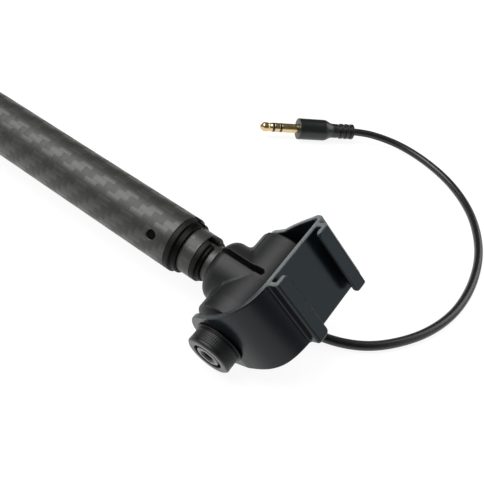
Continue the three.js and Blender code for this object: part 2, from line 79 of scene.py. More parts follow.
def place(points_mm, axes, origin=PIVOT):
    """Millimetres along three axes become metres in the row frame: origin + points times axes."""
    return origin + np.asarray(points_mm) @ axes * MM


def in_scene(name, data):
    """A new object at the origin of the scene."""
    thing = bpy.data.objects.new(name, data)
    bpy.context.scene.collection.objects.link(thing)
    return thing


def stand(thing, right, back, origin):
    """Turns and moves a camera or light: x is its right, z its back, y = z cross x its top."""
    columns = np.column_stack([right, np.cross(back, right), back, origin])
    thing.matrix_world = Matrix([*columns.tolist(), [0, 0, 0, 1]])


def places_of(mesh, axes):
    """The other way: every point of a mesh in millimetres from the pivot along three axes."""
    p = np.empty(len(mesh.vertices) * 3)
    mesh.vertices.foreach_get("co", p)
    return (p.reshape(-1, 3) - PIVOT) @ axes.T / MM


print("the pole lies", round(PIVOT[2] / MM, 2), "mm above the surface, yoke tilt",
      round(float(np.degrees(tilt)), 1), "degrees")

# %% [markdown]
# ## Camera
# The camera stands close, above the tip and to its right, so the tubes run away to the upper
# left. It is set first, because the cords are judged by what it sees.

# %% Camera
CAMERA_FROM_PIVOT = np.array([45.6, -108.69, 121.45])
CAMERA_RIGHT = np.array([0.7972, 0.5764, 0.1796])
CAMERA_FORWARD = np.array([-0.3319, 0.6669, -0.6672])
camera = in_scene("camera", bpy.data.cameras.new("camera"))
camera_place = PIVOT + CAMERA_FROM_PIVOT * MM
forward = CAMERA_FORWARD / np.linalg.norm(CAMERA_FORWARD)
right = CAMERA_RIGHT - forward * (CAMERA_RIGHT @ forward)
stand(camera, right / np.linalg.norm(right), -forward, camera_place)
camera.data.lens = 47.97
camera.data.sensor_width = 36
camera.data.clip_start = 0.005
bpy.context.scene.camera = camera
print("camera at", np.round(camera_place / MM, 1), "mm")

# %% [markdown]
# ## Surfaces on a grid
# Almost every piece is a profile turned about an axis. A profile is a closed outline of
# [place along the axis, radius] pairs. Its corners are softened first, because real edges always
# catch a thin line of light.

# %% Outlines and turned surfaces
SEGMENTS = 128


def rounded(corners, reach, steps=5):
    """Each corner P of a closed outline becomes the parabola (1-t)^2 A + 2t(1-t) P + t^2 C,
    where A and C lie `reach` before and after it. Corners on the axis stay sharp."""
    p = np.asarray(corners, float)
    back, on = np.roll(p, 1, 0) - p, np.roll(p, -1, 0) - p
    back_length = np.linalg.norm(back, axis=1, keepdims=True)
    on_length = np.linalg.norm(on, axis=1, keepdims=True)
    reach = np.broadcast_to(np.asarray(reach, float), len(p))[:, None] * (p[:, 1:] > 0)
    reach = np.minimum(reach, 0.49 * np.minimum(back_length, on_length))
    a, c = p + back / back_length * reach, p + on / on_length * reach
    t = np.linspace(0, 1, steps)[None, :, None]
    arc = (1 - t) ** 2 * a[:, None] + 2 * t * (1 - t) * p[:, None] + t ** 2 * c[:, None]
    line = arc.reshape(-1, 2)
    gap = np.linalg.norm(line - np.roll(line, 1, 0), axis=1)
    return line[gap > 1e-6]


def grid_mesh(name, points, close_rows, close_columns, uv=None):
    """Points of shape (rows, columns, 3) become a quad mesh. A closed direction joins its last
    line to its first. uv has one more row and column than a direction that is closed."""
    rows, columns = points.shape[:2]
    i = np.arange(rows if close_rows else rows - 1)[:, None]
    j = np.arange(columns if close_columns else columns - 1)[None, :]
    ring = [(i, j), (i + 1, j), (i + 1, j + 1), (i, j + 1)]
    faces = np.stack([(a % rows) * columns + b % columns for a, b in ring], -1).reshape(-1, 4)
    mesh = bpy.data.meshes.new(name)
    mesh.from_pydata(points.reshape(-1, 3), [], faces)
    if uv is not None:
        layer = mesh.uv_layers.new(name="weave")
        corners = np.stack([uv[a, b] for a, b in ring], -2).reshape(-1, 2)
        layer.data.foreach_set("uv", corners.ravel())
    return mesh


MERGE_M = 2e-7


def clean(mesh, *shells):
    """Takes in other closed shells, joins doubled points, fills open ends and turns every face
    outwards."""
    work = bmesh.new()
    work.from_mesh(mesh)
    for shell in shells:
        work.from_mesh(shell)
        bpy.data.meshes.remove(shell)
    bmesh.ops.remove_doubles(work, verts=work.verts, dist=MERGE_M)
    bmesh.ops.dissolve_degenerate(work, dist=MERGE_M, edges=work.edges)
    bmesh.ops.holes_fill(work, edges=[edge for edge in work.edges if edge.is_boundary])
    bmesh.ops.recalc_face_normals(work, faces=work.faces)
    work.to_mesh(mesh)
    work.free()
    return mesh


def turned_mesh(name, profile, axes, origin=PIVOT, start=0.0, sweep=360.0, weave=None,
                segments=SEGMENTS):
    """point(s, a) = origin + axis x(s) + radius(s) (first cos a + second sin a), for the outline
    (x, radius) and a from start over sweep degrees. weave = (yarns round, yarn width in mm)."""
    whole = sweep >= 360
    steps = segments if whole else int(segments * sweep / 360) + 1
    a = np.radians(start + sweep * np.arange(steps) / (steps if whole else steps - 1))
    x, r = profile[:, 0][:, None], profile[:, 1][:, None]
    points = np.stack([x + 0 * a, r * np.cos(a), r * np.sin(a)], -1)
    uv = None
    if weave:
        around = np.arange(steps + 1) / steps * weave[0]
        lengthwise = np.append(profile[:, 0], profile[0, 0]) / weave[1]
        uv = np.stack(np.meshgrid(around, lengthwise), -1)
    mesh = grid_mesh(name, place(points, axes, origin), True, whole, uv)
    return clean(mesh)


print("profiles are turned in", SEGMENTS, "steps")

# %% [markdown]
# ## Pieces
# A finished piece is an object at the origin with its place in its mesh. It names the moving
# body that it rides on, the plain solid that it stands for, and its finish. Weighted normals
# keep flat faces flat next to their soft edges.

# %% Making a piece
made = {}


def piece(mesh, body, node, finish, sharp=35.0, weighted=True):
    """Puts a mesh on a body in place of its plain solid, with one finish."""
    thing = in_scene(mesh.name, mesh)
    mesh.shade_smooth()
    if weighted:
        mesh.set_sharp_from_angle(angle=np.radians(sharp))
        smooth = thing.modifiers.new("flat faces stay flat", "WEIGHTED_NORMAL")
        smooth.keep_sharp = True
    mesh.materials.clear()
    mesh.materials.append(finish)
    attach(thing, body)
    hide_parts(node)
    made[thing.name] = len(mesh.polygons)
    return thing


def applied(name, thing, *used):
    """The mesh that an object's modifiers make. What it was made from is cleared away."""
    graph = bpy.context.evaluated_depsgraph_get()
    result = bpy.data.meshes.new_from_object(thing.evaluated_get(graph))
    for old in (thing, *used):
        data = old.data
        bpy.data.objects.remove(old)
        bpy.data.meshes.remove(data)
    result.name = name
    return result


def carve(mesh, cutter):
    """The mesh less the cutter, by an exact boolean."""
    target, tool = in_scene("target", mesh), in_scene("tool", cutter)
    step = target.modifiers.new("carve", "BOOLEAN")
    step.operation, step.object, step.solver = "DIFFERENCE", tool, "EXACT"
    return applied(mesh.name, target, tool)


print("ready to make pieces")

# %% [markdown]
# ## Finishes
# Each finish starts from the real material. Colours are written as sRGB hex and turned to the
# linear values that the renderer adds up. One function adds a node with its settings and links.

# %% Colour and node helpers
def linear(colour):
    """sRGB hex to linear: c/12.92 below 0.04045, else ((c+0.055)/1.055)^2.4."""
    c = np.array([int(colour[k:k + 2], 16) for k in (1, 3, 5)]) / 255
    low, high = c / 12.92, ((c + 0.055) / 1.055) ** 2.4
    return (*np.where(c <= 0.04045, low, high).tolist(), 1.0)


def add(tree, kind, inputs=None, **settings):
    """Adds a node. inputs maps a socket to a value, or to another node's output to link."""
    made_node = tree.nodes.new("ShaderNode" + kind)
    for key, value in settings.items():
        setattr(made_node, key, value)
    for key, value in (inputs or {}).items():
        if isinstance(value, bpy.types.NodeSocket):
            tree.links.new(value, made_node.inputs[key])
        else:
            made_node.inputs[key].default_value = value
    return made_node


def finish(name, colour, roughness, **more):
    """A material whose shader has one plain colour and roughness, to be detailed further."""
    material = bpy.data.materials.new(name)
    material.use_nodes = True
    shader = material.node_tree.nodes["Principled BSDF"]
    shader.inputs["Base Color"].default_value = linear(colour)
    shader.inputs["Roughness"].default_value = roughness
    for key, value in more.items():
        shader.inputs[key.replace("_", " ")].default_value = value
    return material, material.node_tree, shader


def blend(tree, level, low, high):
    """A colour between two others. Each may be sRGB hex or another node's output."""
    pair = [linear(tone) if isinstance(tone, str) else tone for tone in (low, high)]
    return add(tree, "Mix", {0: level, 6: pair[0], 7: pair[1]}, data_type="RGBA").outputs[2]


def spread(tree, value, low=0.0, high=1.0, limits=(0.0, 1.0)):
    """Carries a value that runs between two limits to the range from low to high."""
    return add(tree, "MapRange", {"Value": value, "From Min": limits[0], "From Max": limits[1],
                                  "To Min": low, "To Max": high}).outputs["Result"]


def raise_surface(tree, shader, height, depth_mm):
    """Bump of one real depth."""
    bump = add(tree, "Bump", {"Height": height, "Distance": depth_mm * MM, "Strength": 1.0})
    tree.links.new(bump.outputs["Normal"], shader.inputs["Normal"])


NOISE_LIMITS = (0.3, 0.7)


def grain(tree, shader, size_mm, depth_mm, colours=None, roughness=None, detail=3.0):
    """Noise of one real grain size that moves the surface, its colour and its roughness."""
    coords = add(tree, "TexCoord").outputs["Object"]
    noise = add(tree, "TexNoise", {"Vector": coords, "Scale": 1 / (size_mm * MM),
                                   "Detail": detail}).outputs["Fac"]
    raise_surface(tree, shader, noise, depth_mm)
    if colours:
        tree.links.new(blend(tree, spread(tree, noise, limits=NOISE_LIMITS), *colours),
                       shader.inputs["Base Color"])
    if roughness:
        tree.links.new(spread(tree, noise, *roughness, NOISE_LIMITS), shader.inputs["Roughness"])
    return noise


print("the nylon's grey is", round(linear("#141515")[0], 4), "linear")

# %% [markdown]
# ### Carbon twill
# The tubes are rolled from a 2x2 twill of 2.1 mm carbon yarns under a satin clear coat. Yarns
# along the tube and yarns round it shine differently, which makes the stepped light and dark
# blocks. The pattern counts yarns in the tube's own UV map: the yarn along the tube is on top
# where (column + row) mod 4 is below 2. Each yarn is a low pillow, so it also bends the light.

# %% Carbon twill
FIBRES_PER_YARN, FIBRE_LENGTH, FIBRE_SHARE = 9, 0.6, 0.25


def twill(name, along_colours, round_colours, roughness, pillow_mm):
    """Twill blocks from the UV map, with fibre streaks along each yarn. roughness holds one
    value for the yarns round the tube and one for the yarns along it."""
    material, tree, shader = finish(name, along_colours[0], roughness[0], IOR=1.5,
                                    Coat_Weight=0.16, Coat_Roughness=0.36, Coat_IOR=1.5)
    uv = add(tree, "UVMap", uv_map="weave").outputs["UV"]
    u, v = add(tree, "SeparateXYZ", {0: uv}).outputs[:2]

    def calc(operation, a, b=0.0):
        return add(tree, "Math", {0: a, 1: b}, operation=operation).outputs[0]

    step = calc("ADD", calc("FLOOR", u), calc("FLOOR", v))
    lengthwise = calc("LESS_THAN", calc("FLOORED_MODULO", step, 4.0), 2.0)
    pillow_u = calc("SINE", calc("MULTIPLY", calc("FRACT", u), np.pi))
    pillow_v = calc("SINE", calc("MULTIPLY", calc("FRACT", v), np.pi))
    pillow = add(tree, "Mix", {0: lengthwise, 2: pillow_v, 3: pillow_u}).outputs[0]
    streaks = []
    for scale in ((FIBRES_PER_YARN, FIBRE_LENGTH, 1), (FIBRE_LENGTH, FIBRES_PER_YARN, 1)):
        stretched = add(tree, "Mapping", {"Vector": uv, "Scale": scale}).outputs["Vector"]
        streaks.append(add(tree, "TexNoise", {"Vector": stretched, "Scale": 1.0,
                                              "Detail": 2.0}).outputs["Fac"])
    fibre = add(tree, "Mix", {0: lengthwise, 2: streaks[1], 3: streaks[0]}).outputs[0]
    shades = [blend(tree, fibre, *pair) for pair in (round_colours, along_colours)]
    tree.links.new(blend(tree, lengthwise, *shades), shader.inputs["Base Color"])
    tree.links.new(spread(tree, lengthwise, *roughness), shader.inputs["Roughness"])
    raise_surface(tree, shader, calc("ADD", pillow, calc("MULTIPLY", fibre, FIBRE_SHARE)),
                  pillow_mm)
    return material


carbon = twill("carbon twill under satin clear coat", ("#2a2b27", "#393a35"),
               ("#1c1d1a", "#282925"), (0.54, 0.42), 0.045)
carbon_fine = twill("carbon twill, sliding section", ("#2a2b28", "#353632"),
                    ("#20211e", "#2a2b28"), (0.5, 0.42), 0.025)
print("twill made for", carbon.name)

# %% [markdown]
# ### Mouldings, coatings and metals
# - The head is glass-filled nylon from a spark-eroded mould: charcoal, with a fine satin grain.
# - Bushes are acetal, black with a dull, waxy shine.
# - The yoke is steel strip with a black powder coat that thins and greys on its cut edges. That
#   paler edge tone is also a painted highlight, and a paler tone at half strength over the right
#   fold is a painted highlight.
# - The plug's pin is polished gold plate, its moulding and lead are PVC.

# %% Plain finishes
nylon, tree, shader = finish("glass-filled nylon, spark-eroded grain", "#141515", 0.48, IOR=1.53,
                             Specular_IOR_Level=0.32)
grain(tree, shader, 0.35, 0.005, ("#101111", "#191a1a"), (0.42, 0.54))

acetal, tree, shader = finish("acetal, moulded black", "#030303", 0.5, IOR=1.48,
                              Specular_IOR_Level=0.1)
grain(tree, shader, 0.25, 0.004, ("#020202", "#050505"), (0.45, 0.55))

rubber, tree, shader = finish("rubber, moulded matt", "#161717", 0.75, IOR=1.5)
grain(tree, shader, 0.3, 0.01, ("#121313", "#1d1e1e"), (0.68, 0.82))

foam, tree, shader = finish("closed-cell foam, skived", "#1d1d1e", 0.95, IOR=1.4)
grain(tree, shader, 0.7, 0.12, ("#111112", "#2a2a2b"), (0.9, 1.0), detail=6.0)

pvc, tree, shader = finish("PVC, extruded satin", "#0d0e0e", 0.36, IOR=1.53)
grain(tree, shader, 0.5, 0.005, ("#0a0b0b", "#121313"), (0.3, 0.42))

zinc, tree, shader = finish("steel, bright zinc plate", "#b9bcc0", 0.3, Metallic=1.0)
grain(tree, shader, 0.4, 0.004, ("#a7abaf", "#c6c9cc"), (0.24, 0.4))

gold, tree, shader = finish("brass, polished gold plate", "#d9c08d", 0.24, Metallic=1.0)
grain(tree, shader, 0.3, 0.002, ("#d2b67c", "#e2cda0"), (0.18, 0.32))


def edged(name, body_colours, edge_colours, roughness, grain_mm, depth_mm, attribute, **more):
    """A finish with other tones where the mesh's attribute is 1. roughness holds one value for
    the plain finish and one for the marked places."""
    material, tree, shader = finish(name, body_colours[0], roughness[0], **more)
    level = spread(tree, grain(tree, shader, grain_mm, depth_mm), limits=NOISE_LIMITS)
    tones = [blend(tree, level, *pair) for pair in (body_colours, edge_colours)]
    marked = add(tree, "Attribute", attribute_name=attribute).outputs["Fac"]
    tree.links.new(blend(tree, marked, *tones), shader.inputs["Base Color"])
    tree.links.new(spread(tree, marked, *roughness), shader.inputs["Roughness"])
    return material


# The paler edge tones of this coat are partly real wear on the cut edges and partly a painted
# highlight along them; the paler half tone over the right fold is a painted highlight.
coated_steel = edged("steel strip, black powder coat", ("#0a0e11", "#12191d"),
                     ("#565b5b", "#747979"), (0.26, 0.36), 0.35, 0.003, "edge_wear_and_highlight",
                     IOR=1.5, Specular_IOR_Level=0.3)
# The paler tone on the knob's front face is painted light: the knob is black anodised all over.
knob_black = edged("aluminium, black anodised, face painted lit", ("#0b0c0c", "#151616"),
                   ("#2e2f2f", "#3b3c3c"), (0.42, 0.3), 0.25, 0.006, "face_painted_lit",
                   Specular_IOR_Level=0.3)
# The paler rim round the screw's socket is a painted highlight: the screw is black oxide all
# over.
black_oxide = edged("steel, black oxide, rim painted with a highlight", ("#1a1b1c", "#242526"),
                    ("#5a5c5c", "#6e7070"), (0.35, 0.28), 0.2, 0.003, "face_painted_lit")
# The flange's paler tone is painted light: the bush is black acetal all over.
acetal_with_flange_painted_lit = edged("acetal, black, flange painted lit", ("#020202", "#050505"),
                       ("#141511", "#1d1e19"), (0.45, 0.42), 0.25, 0.004, "flange",
                       IOR=1.48, Specular_IOR_Level=0.1)
print("finishes:", len(bpy.data.materials))

# %% [markdown]
# ## The short lead
# The lead is a soft 2.8 mm PVC microphone cable, about 0.18 m long in all. It comes straight out
# of a grommet under the head, falls on to the surface and runs in one loose loop to its plug.
# A centripetal Catmull-Rom curve passes through the model's own route points without kinks.

# %% The short lead
LEAD_RADIUS = 1.4
GROMMET_ANGLE = np.radians(-62)
GROMMET_PLACE = 2.0
GROMMET_TIP = 12.0
PLUG_HEADING = np.radians(225.7)
PLUG_START = np.array([-26.8, 108.5, 4.05])
LEAD_ROUTE = [
    [12.8, 9.3, 1.9], [21.4, 12.6, 1.5], [28.1, 17.1, 1.5], [34.0, 24.2, 1.5],
    [39.6, 35.2, 1.5], [42.8, 49.0, 1.5], [42.4, 66.4, 1.5], [37.8, 84.6, 1.5],
    [28.3, 101.2, 1.5], [15.7, 112.6, 1.5], [2.0, 118.2, 1.8], [-10.2, 118.2, 2.7],
    [-20.2, 113.8, 3.8],
]
GROUND_AXES = np.eye(3)
UNDER_PIVOT = np.array([PIVOT[0], PIVOT[1], 0.0])
grommet_way = np.array([np.cos(GROMMET_ANGLE), 0.0, np.sin(GROMMET_ANGLE)])
grommet_side = np.array([0.0, 1.0, 0.0])
plug_way = np.array([np.cos(PLUG_HEADING), np.sin(PLUG_HEADING), 0.0])
exit_points = [(GROMMET_TIP + out) * grommet_way + GROMMET_PLACE * grommet_side
               for out in (0.1, 1.5)]
route = np.vstack([
    place(exit_points, HEAD),
    place(LEAD_ROUTE, GROUND_AXES, UNDER_PIVOT),
    place([PLUG_START - 1.5 * plug_way, PLUG_START - 0.1 * plug_way], GROUND_AXES, UNDER_PIVOT),
])


def through(points, steps=12):
    """Centripetal Catmull-Rom: between P1 and P2 the curve is the Barry-Goldman pyramid of
    P0...P3 on knots spaced by the square root of the chords."""
    ends = [2 * points[0] - points[1]], [2 * points[-1] - points[-2]]
    p = np.vstack([ends[0], points, ends[1]])
    knots = np.append(0, np.cumsum(np.linalg.norm(np.diff(p, axis=0), axis=1) ** 0.5))
    k = [knots[n:len(p) - 3 + n, None, None] for n in range(4)]
    q = [p[n:len(p) - 3 + n, None, :] for n in range(4)]
    t = k[1] + (k[2] - k[1]) * np.linspace(0, 1, steps, endpoint=False)[None, :, None]

    def between(a, b, ta, tb):
        return ((tb - t) * a + (t - ta) * b) / (tb - ta)

    low = [between(q[n], q[n + 1], k[n], k[n + 1]) for n in range(3)]
    middle = [between(low[n], low[n + 1], k[n], k[n + 2]) for n in range(2)]
    curve = between(*middle, k[1], k[2]).reshape(-1, 3)
    return np.vstack([curve, points[-1:]])


lead_line = through(route)
lead_length = float(np.linalg.norm(np.diff(lead_line, axis=0), axis=1).sum())
curve = bpy.data.curves.new("short_lead", "CURVE")
curve.dimensions = "3D"
spline = curve.splines.new("POLY")
spline.points.add(len(lead_line) - 1)
spline.points.foreach_set("co", np.column_stack([lead_line, np.ones(len(lead_line))]).ravel())
spline.use_smooth = True
curve.bevel_depth = LEAD_RADIUS * MM
curve.bevel_resolution = 6
curve.use_fill_caps = True
curve.materials.append(pvc)
lead = in_scene("short_lead", curve)
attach(lead, "head")
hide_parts("mic_cable")
print("the lead is", round(lead_length / MM, 1), "mm long")

# %% [markdown]
# ## The plug
# A 3.5 mm stereo plug has a gold-plated sleeve, ring and tip, kept apart by black rings. Its
# moulded body narrows to a neck and three ribs, which let the lead bend without breaking.

# %% The plug and its strain relief
PLUG_AXES = np.array([plug_way, np.cross([0, 0, 1], plug_way), [0.0, 0.0, 1.0]])
plug_origin = place(PLUG_START, GROUND_AXES, UNDER_PIVOT)
RELIEF_LENGTH, RELIEF_RADIUS, RELIEF_WAIST, RIBS = 6.5, 2.95, 2.3, 3
BODY_END, BODY_RADIUS, PIN_RADIUS, PIN_WAIST = 22.8, 4.05, 1.75, 1.45
NECK_RADIUS, NECK_END, SHOULDER_END = 2.75, 8.6, 12.4
SLEEVE, RING, BLACK, TIP, GAP = 6.6, 2.1, 0.7, 4.8, 0.06
POINT_RADIUS = 0.5
pitch = RELIEF_LENGTH / RIBS
rib = np.array([[0.02, RELIEF_RADIUS], [0.58, RELIEF_RADIUS], [0.62, RELIEF_WAIST],
                [0.98, RELIEF_WAIST]])
ribs = np.vstack([(rib + [n, 0]) * [pitch, 1] for n in range(RIBS)])
share = np.linspace(0, 1, 12)
shoulder = np.column_stack([
    NECK_END + (SHOULDER_END - NECK_END) * share,
    NECK_RADIUS + (BODY_RADIUS - NECK_RADIUS) * (3 * share ** 2 - 2 * share ** 3),
])
outline = np.vstack([
    [[0, 0]], ribs, [[RELIEF_LENGTH, NECK_RADIUS]], shoulder,
    [[BODY_END, BODY_RADIUS], [BODY_END, 0]],
])
plug_pieces = [piece(turned_mesh("plug_moulding", rounded(outline, 0.2), PLUG_AXES, plug_origin),
                     "head", "plug_body", pvc)]
start = BODY_END + GAP
for name, node, length, material, slot in (
        ("pin_sleeve", "plug_sleeve", SLEEVE, gold, "gold_plate"),
        ("pin_back_black_ring", "plug_ring_insulator", BLACK, pvc, "lead_pvc"),
        ("pin_ring", "plug_ring", RING, gold, "gold_plate"),
        ("pin_front_black_ring", "plug_tip_insulator", BLACK, pvc, "lead_pvc")):
    rod = [[start, 0], [start, PIN_RADIUS], [start + length, PIN_RADIUS], [start + length, 0]]
    mesh = turned_mesh(name, rounded(rod, 0.12), PLUG_AXES, plug_origin, segments=64)
    plug_pieces.append(piece(mesh, "head", node, material))
    start += length + GAP
tip = start + np.array([0, 0, 0.4, 1.0, 1.9, TIP - 1.2, TIP, TIP])
tip_radius = [0, PIN_RADIUS, PIN_RADIUS, PIN_WAIST, PIN_RADIUS, PIN_RADIUS, POINT_RADIUS, 0]
mesh = turned_mesh("pin_tip", rounded(np.column_stack([tip, tip_radius]), 0.35), PLUG_AXES,
                   plug_origin, segments=64)
plug_pieces.append(piece(mesh, "head", "plug_tip", gold))
print("plug pieces:", len(plug_pieces))

# %% [markdown]
# ## Carbon tubes
# Three tubes slide inside each other. Each is a closed ring outline turned about the pole's
# axis. The yarn count round a tube is a multiple of four, so the twill closes without a seam.
# The largest tube has a small round hole, where a pip on the bush snaps in and keeps it.

# %% Carbon tubes
WALL = 1.0
OUTER, MIDDLE, INNER = 8.25, 6.75, 5.25
YARNS = {OUTER: 24, MIDDLE: 20, INNER: 16}
HOLE_RADIUS, HOLE_INSET, HOLE_ANGLE = 1.4, 5.6, np.radians(-42)


def ends(node):
    """The lowest and highest place of a plain solid along the pole, in mm from the pivot."""
    low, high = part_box(node)
    return (low[0] - PIVOT[0]) / MM, (high[0] - PIVOT[0]) / MM


def tube_mesh(which, radius):
    """A tube's ring outline with a row of extra points near its mouth."""
    tail, mouth = ends(which + "_tube")
    stops = [[tail, radius - WALL], [tail, radius], [mouth - 12, radius], [mouth - 2, radius],
             [mouth, radius], [mouth, radius - WALL]]
    yarn = 2 * np.pi * radius / YARNS[radius]
    return turned_mesh(f"carbon_{which}_tube", rounded(stops, [0.1, 0.15, 0, 0, 0.15, 0.1]), HEAD,
                       weave=(YARNS[radius], yarn))


outer_mesh = tube_mesh("outer", OUTER)
hole_way = np.array([0.0, np.sin(HOLE_ANGLE), np.cos(HOLE_ANGLE)])
HOLE_AXES = np.array([hole_way, np.cross(hole_way, [1, 0, 0]), [1.0, 0, 0]]) @ HEAD
hole_origin = place([ends("outer_tube")[1] - HOLE_INSET, 0, 0], HEAD)
drill_low, drill_high = OUTER - 2, OUTER + 0.6
drill = np.array([[drill_low, 0], [drill_low, HOLE_RADIUS], [OUTER - 0.3, HOLE_RADIUS],
                  [drill_high, HOLE_RADIUS + 0.9], [drill_high, 0]])
outer_mesh = carve(outer_mesh,
                   turned_mesh("drill", drill, HOLE_AXES, hole_origin, segments=48))
piece(outer_mesh, "outer_section", "outer_tube", carbon, weighted=False)
outer_mesh.set_sharp_from_angle(angle=np.radians(25))
for which, radius, body in (("middle", MIDDLE, "middle_section"), ("inner", INNER, "head")):
    piece(tube_mesh(which, radius), body, which + "_tube", carbon_fine)
print("outer tube", np.round(ends("outer_tube"), 1), "mm from the pivot")

# %% [markdown]
# ## Bushes
# Each mouth has a thin split bush: an insert inside the tube, a flange of the tube's own
# diameter, and a smaller nose in front of it. Because it is split, it is an outline turned less
# than a full circle, with both ends filled. Plain rings at the tails keep the tubes in line.

# %% Bushes
CLEAR, SLIDE, FLANGE, INSERT, STEP, SPLIT = 0.1, 0.5, 1.7, 12.0, 0.7, 2.1
OUTER_NOSE, MIDDLE_NOSE, OUTER_SPLIT_ANGLE, MIDDLE_SPLIT_ANGLE = 1.9, 1.1, 52, 26
PIP_RADIUS = 1.2


def store(mesh, name, values):
    """Keeps a 0 to 1 value per point, for its finish to read."""
    layer = mesh.attributes.new(name, "FLOAT", "POINT")
    layer.data.foreach_set("value", values.astype(np.float32))


def mark(mesh, name, axes, test):
    """Stores a value worked out from each point's place along the axis and its radius."""
    local = places_of(mesh, axes)
    store(mesh, name, test(local[:, 0], np.hypot(local[:, 1], local[:, 2])) * 1.0)


def mouth_bush(name, radius, mouth, nose, split_angle):
    """The bush's outline turned from one side of the split round to the other."""
    bore, insert = radius - WALL - SLIDE + CLEAR, radius - WALL - CLEAR
    flange_end = mouth + FLANGE
    outline = [[mouth - INSERT, bore], [mouth - INSERT, insert], [mouth + CLEAR, insert],
               [mouth + CLEAR, radius], [flange_end, radius], [flange_end, radius - STEP],
               [flange_end + nose, radius - STEP], [flange_end + nose, bore]]
    soft = rounded(outline, [0.05, 0.1, 0.03, 0.12, 0.35, 0.25, 0.3, 0.1])
    half = np.degrees(np.arcsin(SPLIT / 2 / radius))
    centre = 90 - split_angle
    return turned_mesh(name, soft, HEAD, start=centre + half, sweep=360 - 2 * half)


pip_low, pip_high = OUTER - WALL - 2 * CLEAR, OUTER - WALL / 2
pip_outline = [[pip_low, 0], [pip_low, PIP_RADIUS], [pip_high, PIP_RADIUS], [pip_high, 0]]
pip = turned_mesh("pip", rounded(pip_outline, 0.35), HOLE_AXES, hole_origin, segments=32)
for which, radius, nose, split_angle, added in (
        ("outer", OUTER, OUTER_NOSE, OUTER_SPLIT_ANGLE, [pip]),
        ("middle", MIDDLE, MIDDLE_NOSE, MIDDLE_SPLIT_ANGLE, [])):
    mouth = ends(which + "_tube")[1]
    ring = clean(mouth_bush(which + "_bush_ring", radius, mouth, nose, split_angle), *added)
    # The flange is marked for a paler tone, which is painted light.
    mark(ring, "flange", HEAD, lambda x, r: (x > mouth) * (r > radius - STEP + 0.15))
    piece(ring, which + "_section", which + "_mouth_bush", acetal_with_flange_painted_lit)

COLLAR, STEM, LEAD_HOLE = 6.0, 12.0, 3.4
for which, radius, body in (("middle", MIDDLE, "middle_section"),
                            ("inner", INNER, "inner_slider")):
    tail = ends(which + "_tube")[0]
    collar, stem = radius + SLIDE - CLEAR, radius - WALL - CLEAR
    outline = [[tail - COLLAR, LEAD_HOLE], [tail - COLLAR, collar], [tail - CLEAR, collar],
               [tail - CLEAR, stem], [tail + STEM, stem], [tail + STEM, LEAD_HOLE]]
    piece(turned_mesh(which + "_slide_bush", rounded(outline, 0.3), HEAD), body,
          which + "_tail_bush", acetal)
print("bushes made, outer mouth at", round(ends("outer_tube")[1], 1), "mm")

# %% [markdown]
# ## Shapes that melt together
# The head's collar flows into its barrel, and the yoke's strip, folds and lips flow into each
# other. A turned profile can't do that. Each shape is a function of place instead, negative
# inside and positive outside. Two shapes join by the lower value and cut each other by the
# higher one, and a quadratic blend of width k rounds the seam. The plain solid, remeshed to even
# points, is then pulled on to the place where the function is zero, and its slope there gives
# exact normals.

# %% Functions of place
def smooth_low(a, b, k):
    """Lower of a and b, less h^2 k/4 with h = 1 - |a-b|/k where that is positive."""
    h = np.maximum(k - np.abs(a - b), 0) / np.maximum(k, 1e-9)
    return np.minimum(a, b) - h * h * k / 4


def smooth_high(a, b, k):
    """Higher of a and b, rounded in the same way."""
    return -smooth_low(-a, -b, k)


def rounded_edge(a, b, r):
    """Inside both a < 0 and b < 0, with their shared edge rounded to radius r."""
    u, v = a + r, b + r
    return np.minimum(np.maximum(u, v), 0) + np.hypot(np.maximum(u, 0), np.maximum(v, 0)) - r


def slope(shape, p, h=0.02):
    """Central differences of a function of place along each axis."""
    steps = np.eye(3) * h
    return np.stack([(shape(p + s) - shape(p - s)) / (2 * h) for s in steps], -1)


PULL_ROUNDS, EVENED_ROUNDS, LONGEST_MOVE = 8, range(1, 5), 0.4


def pulled(name, node, axes, shape, voxel_mm):
    """The node's solid, remeshed evenly in its own axes, with each point moved by
    -f slope / |slope|^2 until f is zero, and normals set to the slope. In the evened rounds each
    point first goes half way to the mean of its neighbours."""
    work = bmesh.new()
    work.from_mesh(frame["nodes"][node].data)
    bmesh.ops.remove_doubles(work, verts=work.verts, dist=1e-6)
    source = bpy.data.meshes.new(name)
    work.to_mesh(source)
    work.free()
    source.vertices.foreach_set("co", places_of(source, axes).ravel())
    holder = in_scene(name, source)
    even = holder.modifiers.new("even points", "REMESH")
    even.mode, even.voxel_size = "VOXEL", voxel_mm
    mesh = applied(name, holder)
    p = np.empty(len(mesh.vertices) * 3)
    mesh.vertices.foreach_get("co", p)
    p = p.reshape(-1, 3)
    edges = np.empty(len(mesh.edges) * 2, int)
    mesh.edges.foreach_get("vertices", edges)
    here, there = np.vstack([edges.reshape(-1, 2), edges.reshape(-1, 2)[:, ::-1]]).T
    neighbours = np.bincount(here, minlength=len(p))[:, None]
    for turn_number in range(PULL_ROUNDS):
        if turn_number in EVENED_ROUNDS:
            total = [np.bincount(here, p[there, k], len(p)) for k in range(3)]
            p += 0.5 * (np.stack(total, -1) / neighbours - p)
        g = slope(shape, p)
        move = shape(p)[:, None] * g / np.maximum((g * g).sum(1, keepdims=True), 0.2)
        size = np.linalg.norm(move, axis=1, keepdims=True)
        p -= move * np.minimum(1, LONGEST_MOVE / np.maximum(size, 1e-9))
    g = slope(shape, p)
    normals = g / np.maximum(np.linalg.norm(g, axis=1, keepdims=True), 1e-9) @ axes
    left_over = float(np.abs(shape(p)).max())
    mesh.vertices.foreach_set("co", place(p, axes).ravel())
    mesh.update()
    mesh.shade_smooth()
    mesh.normals_split_custom_set_from_vertices(normals)
    print(name, "has", len(mesh.polygons), "faces, at most", round(left_over, 3), "mm off")
    return mesh, p


# %% [markdown]
# ## Head moulding
# One nylon moulding holds the tube in its collar and carries the pivot in its barrel. The fillet
# between them fades out where both surfaces face the same way. A slit lets the collar close on
# the tube, and a fine seam runs where the mould's halves met.

